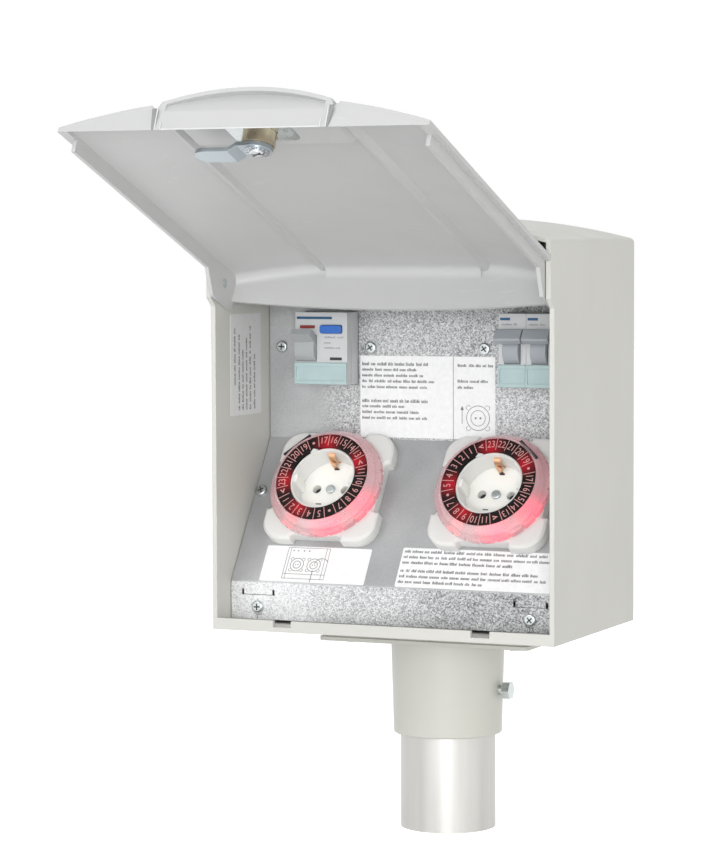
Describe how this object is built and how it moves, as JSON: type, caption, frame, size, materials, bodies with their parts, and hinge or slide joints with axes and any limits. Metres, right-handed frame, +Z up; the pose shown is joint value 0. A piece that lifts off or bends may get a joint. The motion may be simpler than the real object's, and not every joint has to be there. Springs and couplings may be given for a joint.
{
  "type": "garden socket post",
  "caption": "Weatherproof post-top box with a lift-up arched lid over two earthed socket timers, circuit breakers and a residual-current device, clamped on a round tube.",
  "frame": {"origin": "on the post tube's axis at the tube's lower end", "axes": "+Z up along the post, +X to the right and -Y to the front as seen by the user at the open lid"},
  "size_m": [0.224, 0.3327, 0.454],
  "materials": {
    "body_plastic": "satin moulded plastic, light grey",
    "lid_plastic": "satin moulded plastic, light grey",
    "galvanised": "galvanised sheet with spangle",
    "zinc_steel": "zinc plated",
    "terminal_plastic": "plain",
    "device_plastic": "plain",
    "toggle_grey": "plain",
    "button_blue": "plain",
    "holder_clear": "clear, tinted",
    "tube_aluminium": "brushed",
    "collar_paint": "satin paint",
    "timer_white": "satin",
    "neon_red": "glowing lamp glass",
    "dial_black": "matte",
    "ring_clear": "clear",
    "lock_brass": "satin",
    "lock_chrome": "polished"
  },
  "bodies": {
    "box": {"enclosure_shell": "body_plastic", "cover_plate": "galvanised", "timer_plate": "galvanised", "cover_screws": "zinc_steel", "rail_left": "zinc_steel", "rail_right": "zinc_steel", "rail_screws": "zinc_steel", "supply_terminals": "terminal_plastic", "rcd_housing": "device_plastic", "rcd_label_holder": "holder_clear", "tube": "tube_aluminium", "collar": "collar_paint", "clamp_bolt": "zinc_steel", "flange_screws": "zinc_steel", "socket_screws": "zinc_steel", "breaker_housing_left": "device_plastic", "breaker_label_holder_left": "holder_clear", "timer_base_left": "timer_white", "timer_body_left": "terminal_plastic", "neon_lamps_left": "neon_red", "socket_insert_left": "timer_white", "earth_clips_left": "zinc_steel", "hinge_pin_left": "zinc_steel", "breaker_housing_right": "device_plastic", "breaker_label_holder_right": "holder_clear", "timer_base_right": "timer_white", "timer_body_right": "terminal_plastic", "neon_lamps_right": "neon_red", "socket_insert_right": "timer_white", "earth_clips_right": "zinc_steel", "hinge_pin_right": "zinc_steel"},
    "lid": {"lid_shell": "lid_plastic", "lock_body": "lock_brass", "lock_clip": "zinc_steel"},
    "lock": {"lock_plug": "lock_chrome", "lock_cam": "zinc_steel", "lock_cam_screw": "zinc_steel"},
    "rcd_toggle": {"rcd_toggle": "device_plastic"},
    "test_button": {"rcd_test_button": "button_blue"},
    "breaker_toggle_left": {"breaker_toggle_left": "toggle_grey"},
    "dial_left": {"timer_dial_left": "dial_black"},
    "ring_left": {"timer_ring_left": "ring_clear"},
    "breaker_toggle_right": {"breaker_toggle_right": "toggle_grey"},
    "dial_right": {"timer_dial_right": "dial_black"},
    "ring_right": {"timer_ring_right": "ring_clear"}
  },
  "joints": [
    {"name": "lid_hinge", "type": "hinge", "parent": "box", "child": "lid", "pos_m": [0, -0.0997, 0.3445], "axis": [1, 0, 0], "range_deg": [0, 112]},
    {"name": "lock_turn", "type": "hinge", "parent": "lid", "child": "lock", "pos_m": [0, -0.27071, 0.41963], "axis": [0, 0.3746, 0.9272], "range_deg": [0, 30]},
    {"name": "rcd_switch", "type": "hinge", "parent": "box", "child": "rcd_toggle", "pos_m": [-0.0753, -0.0425, 0.3032], "axis": [1, 0, 0], "range_deg": [0, 70]},
    {"name": "test_push", "type": "slide", "parent": "box", "child": "test_button", "axis": [0, 1, 0], "range_m": [0, 0.0016], "stiffness_N_per_m": 400},
    {"name": "breaker_switch_left", "type": "hinge", "parent": "box", "child": "breaker_toggle_left", "pos_m": [0.0626, -0.0425, 0.3032], "axis": [1, 0, 0], "range_deg": [0, 70]},
    {"name": "breaker_switch_right", "type": "hinge", "parent": "box", "child": "breaker_toggle_right", "pos_m": [0.0805, -0.0425, 0.3032], "axis": [1, 0, 0], "range_deg": [0, 70]},
    {"name": "dial_turn_left", "type": "hinge", "parent": "box", "child": "dial_left", "pos_m": [-0.0553, -0.06542, 0.22212], "axis": [0, -0.834, 0.5518], "continuous": true},
    {"name": "dial_turn_right", "type": "hinge", "parent": "box", "child": "dial_right", "pos_m": [0.0553, -0.06542, 0.22212], "axis": [0, -0.834, 0.5518], "continuous": true},
    {"name": "ring_turn_left", "type": "hinge", "parent": "dial_left", "child": "ring_left", "pos_m": [-0.0553, -0.06292, 0.22046], "axis": [0, -0.834, 0.5518], "continuous": true},
    {"name": "ring_turn_right", "type": "hinge", "parent": "dial_right", "child": "ring_right", "pos_m": [0.0553, -0.06292, 0.22046], "axis": [0, -0.834, 0.5518], "continuous": true}
  ]
}
